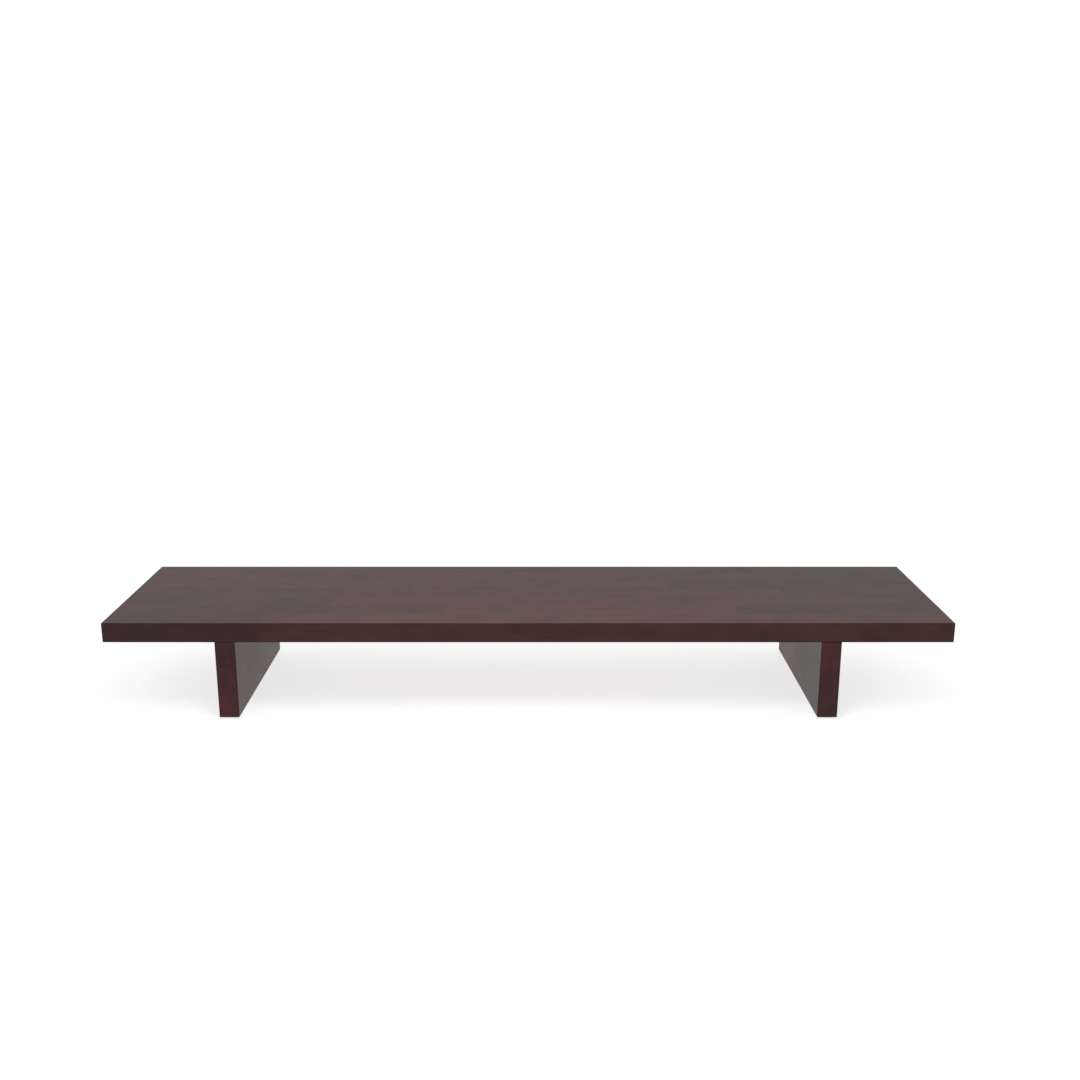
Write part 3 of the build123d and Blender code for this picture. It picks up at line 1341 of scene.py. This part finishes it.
@dataclass
class Studio:
    """A light table without an edge in sight, soft light from all round, and the camera."""

    floor_radius: float = 40.0
    floor_facets: int = 96
    floor_gap: float = 0.2 * MM
    floor_colour: Colour = (0.62, 0.62, 0.62)
    floor_seen_glow: float = 0.74
    floor_cast_glow: float = 0.51
    surround: float = 0.475
    overhead: float = 0.55
    overhead_rise: tuple[float, float] = (0.25, 0.9)  # heights between which the one becomes the other
    softbox_power: float = 2.2
    softbox_size: float = 0.30
    softbox_place: tuple[float, float, float] = (-0.04, -0.52, 0.86)
    camera_above_top: float = 0.4862
    camera_before_front: float = 1.4186
    camera_to_right: float = 0.0105
    camera_pitch: float = math.radians(14.946)
    lens: float = 39.982
    sensor: float = 36.0
    shift: float = 0.0032

    def floor(self) -> None:
        """A glowing disc just under the feet that shows shadows. From below it isn't seen."""
        bpy.ops.object.select_all(action="DESELECT")
        bpy.ops.mesh.primitive_circle_add(
            vertices=self.floor_facets,
            radius=self.floor_radius,
            fill_type="NGON",
            location=(0.0, 0.0, -self.floor_gap),
        )
        disc = bpy.context.object
        disc.name = "studio_floor"
        material = bpy.data.materials.new("studio_floor")
        material.use_nodes = True
        material.node_tree.nodes.clear()
        graph = Graph(material.node_tree)
        paper = graph.node("ShaderNodeBsdfDiffuse")
        paper.inputs["Color"].default_value = (*self.floor_colour, 1.0)
        glow = graph.node("ShaderNodeEmission")
        glow.inputs["Strength"].default_value = self.floor_seen_glow
        seen = graph.node("ShaderNodeAddShader")
        for socket, value in zip(seen.inputs, (paper.outputs[0], glow.outputs[0])):
            graph.feed(socket, value)
        cast = graph.node("ShaderNodeEmission")
        cast.inputs["Strength"].default_value = self.floor_cast_glow
        camera_ray = graph.node("ShaderNodeLightPath").outputs["Is Camera Ray"]
        above = self.either(graph, camera_ray, cast.outputs[0], seen.outputs[0])
        below = graph.node("ShaderNodeBsdfTransparent")
        side = graph.node("ShaderNodeNewGeometry").outputs["Backfacing"]
        output = graph.node("ShaderNodeOutputMaterial")
        graph.feed(output.inputs["Surface"], self.either(graph, side, above, below.outputs[0]))
        disc.data.materials.append(material)
        disc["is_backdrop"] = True

    def either(self, graph: Graph, factor: Socket, first: Socket, second: Socket) -> Socket:
        """A mix of two shaders.

        Args:
            graph: The tree to add it to.
            factor: How much of the second is taken.
            first: The first shader.
            second: The second shader.

        Returns:
            The mixed shader.
        """
        made = graph.node("ShaderNodeMixShader")
        for socket, value in zip(made.inputs, (factor, first, second)):
            graph.feed(socket, value)
        return made.outputs[0]

    def surroundings(self) -> None:
        """A white backdrop to the eye that lights the stand more softly than it looks."""
        world = bpy.data.worlds.new("studio")
        world.use_nodes = True
        world.node_tree.nodes.clear()
        graph = Graph(world.node_tree)
        height = graph.split(graph.node("ShaderNodeTexCoord").outputs["Generated"])[2]
        lit = graph.node("ShaderNodeBackground")
        strength = graph.step(height, *self.overhead_rise, self.surround, self.overhead)
        graph.feed(lit.inputs["Strength"], strength)
        lit.inputs["Color"].default_value = (1.0, 1.0, 1.0, 1.0)
        seen = graph.node("ShaderNodeBackground")
        seen.inputs["Color"].default_value = (1.0, 1.0, 1.0, 1.0)
        camera_ray = graph.node("ShaderNodeLightPath").outputs["Is Camera Ray"]
        output = graph.node("ShaderNodeOutputWorld")
        surface = self.either(graph, camera_ray, lit.outputs[0], seen.outputs[0])
        graph.feed(output.inputs["Surface"], surface)
        bpy.context.scene.world = world

    def softbox(self) -> None:
        """A square softbox above the front edge, turned to the middle of the top."""
        light = bpy.data.lights.new("softbox", "AREA")
        light.energy = self.softbox_power
        light.size = self.softbox_size
        lamp = bpy.data.objects.new("softbox", light)
        bpy.context.scene.collection.objects.link(lamp)
        low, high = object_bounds()
        place = Vector(self.softbox_place)
        target = Vector(((low.x + high.x) / 2, (low.y + high.y) / 2, high.z))
        lamp.location = place
        lamp.rotation_euler = (target - place).to_track_quat("-Z", "Y").to_euler()

    def camera(self) -> None:
        """Looks down at the stand from in front of its middle."""
        low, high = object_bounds()
        lens = bpy.data.cameras.new("camera")
        lens.lens = self.lens
        lens.sensor_width = self.sensor
        lens.shift_x = self.shift
        holder = bpy.data.objects.new("camera", lens)
        bpy.context.scene.collection.objects.link(holder)
        holder.location = (
            (low.x + high.x) / 2 + self.camera_to_right,
            low.y - self.camera_before_front,
            high.z + self.camera_above_top,
        )
        holder.rotation_euler = (math.pi / 2 - self.camera_pitch, 0.0, 0.0)
        bpy.context.scene.camera = holder

    def build(self) -> None:
        """Sets up the floor, the light and the camera."""
        self.floor()
        self.surroundings()
        self.softbox()
        self.camera()
        bpy.context.scene.view_settings.view_transform = "Standard"
        log.info("studio: floor, surroundings, softbox and camera")


def main() -> None:
    """Builds the stand's looks piece by piece, then the studio."""
    logging.basicConfig(level=logging.INFO, format="%(message)s")
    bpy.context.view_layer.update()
    Board("top_board", GrainWay.LENGTHWAYS, RED_BROWN, seed=12244942.0, first_joint=201.5 * MM).build()
    for leg, seed in (("left_leg", 28135.0), ("right_leg", 7785.0)):
        Board(
            leg,
            GrainWay.FRONT_TO_REAR,
            MAROON,
            seed=seed,
            first_joint=95 * MM,
            ripped_off=5.5 * MM,
            tone_strength=0.62,
        ).build()
    corners = [f"{side}_{end}" for side in ("left", "right") for end in ("front", "rear")]
    for corner in corners:
        Fixings(corner).build()
    SocketBolts(ZINC_PLATE).build(corners)
    RubberFeet(MouldedRubber("moulded_rubber")).build(corners)
    Studio().build()


if __name__ == "__main__":
    main()
